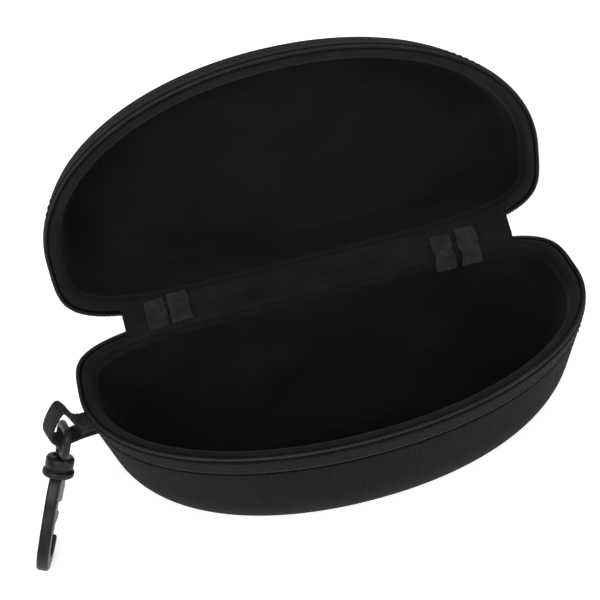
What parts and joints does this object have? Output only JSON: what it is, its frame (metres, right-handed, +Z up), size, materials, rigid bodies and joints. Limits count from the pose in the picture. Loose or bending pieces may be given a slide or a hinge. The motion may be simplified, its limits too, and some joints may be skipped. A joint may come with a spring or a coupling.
{
  "type": "eyeglasses case",
  "caption": "Zip-round moulded case for eyeglasses, shown open, with a webbing loop and a plastic swivel snap hook at its left end.",
  "frame": {"origin": "middle of the flat underside of the base", "axes": "+X to the right along the lid's hinge, +Y from the front opening towards the hinge, +Z up"},
  "size_m": [0.1927, 0.1149, 0.1219],
  "materials": {
    "cover_cloth": "ribbed woven black cover",
    "eva_foam": "moulded black EVA foam",
    "lining_cloth": "brushed black lining",
    "zip_tape_cloth": "woven black zip tape",
    "zip_coil_plastic": "black nylon coil",
    "raw_tape_cloth": "frayed dark grey tape end",
    "webbing_cloth": "black webbing",
    "hook_plastic": "glossy black moulded plastic",
    "zip_metal": "black lacquered zinc",
    "spring_steel": "bare steel"
  },
  "bodies": {
    "base": {"base_cover": "cover_cloth", "base_shell": "eva_foam", "base_lining": "lining_cloth", "base_rim_binding": "lining_cloth", "base_zip_tape": "zip_tape_cloth", "base_hinge_tape": "zip_tape_cloth", "base_zip_coil": "zip_coil_plastic", "base_zip_stop": "zip_metal", "left_outer_tape_end_base": "raw_tape_cloth", "left_inner_tape_end_base": "raw_tape_cloth", "right_inner_tape_end_base": "raw_tape_cloth", "right_outer_tape_end_base": "raw_tape_cloth", "strap_loop": "webbing_cloth"},
    "lid": {"lid_cover": "cover_cloth", "lid_shell": "eva_foam", "lid_lining": "lining_cloth", "lid_rim_binding": "lining_cloth", "lid_zip_tape": "zip_tape_cloth", "lid_hinge_tape": "zip_tape_cloth", "lid_zip_coil": "zip_coil_plastic", "lid_zip_stop": "zip_metal", "left_outer_tape_end_lid": "raw_tape_cloth", "left_inner_tape_end_lid": "raw_tape_cloth", "right_inner_tape_end_lid": "raw_tape_cloth", "right_outer_tape_end_lid": "raw_tape_cloth"},
    "slider": {"zip_slider": "zip_metal"},
    "pull": {"zip_pull": "zip_metal"},
    "eye": {"hook_eye": "hook_plastic"},
    "hook": {"hook_body": "hook_plastic", "gate_pin": "spring_steel"},
    "gate": {"hook_gate": "hook_plastic"}
  },
  "joints": [
    {"name": "lid_hinge", "type": "hinge", "parent": "base", "child": "lid", "pos_m": [0, 0.04, 0.042], "axis": [-1, 0, 0], "range_deg": [-98, 52]},
    {"name": "zip_slide", "type": "slide", "parent": "base", "child": "slider", "axis": [0.9882, -0.1529, 0], "range_m": [0, 0.005]},
    {"name": "pull_swing", "type": "hinge", "parent": "slider", "child": "pull", "pos_m": [0.0629, 0.04097, 0.0373], "axis": [0.9882, -0.1529, 0], "range_deg": [0, 30]},
    {"name": "hook_swing", "type": "hinge", "parent": "base", "child": "eye", "pos_m": [-0.0892, 0.0005, 0.0401], "axis": [-0.1482, 0.9323, -0.3299], "range_deg": [-20, 45]},
    {"name": "hook_swivel", "type": "hinge", "parent": "eye", "child": "hook", "pos_m": [-0.0892, 0.0005, 0.0401], "axis": [0.3822, 0.3616, 0.8504], "continuous": true},
    {"name": "gate_hinge", "type": "hinge", "parent": "hook", "child": "gate", "pos_m": [-0.09697, -0.00367, 0.01879], "axis": [-0.9047, 0.3341, 0.2645], "range_deg": [0, 25], "stiffness_Nm_per_rad": 0.01, "springref_deg": -17.19}
  ]
}
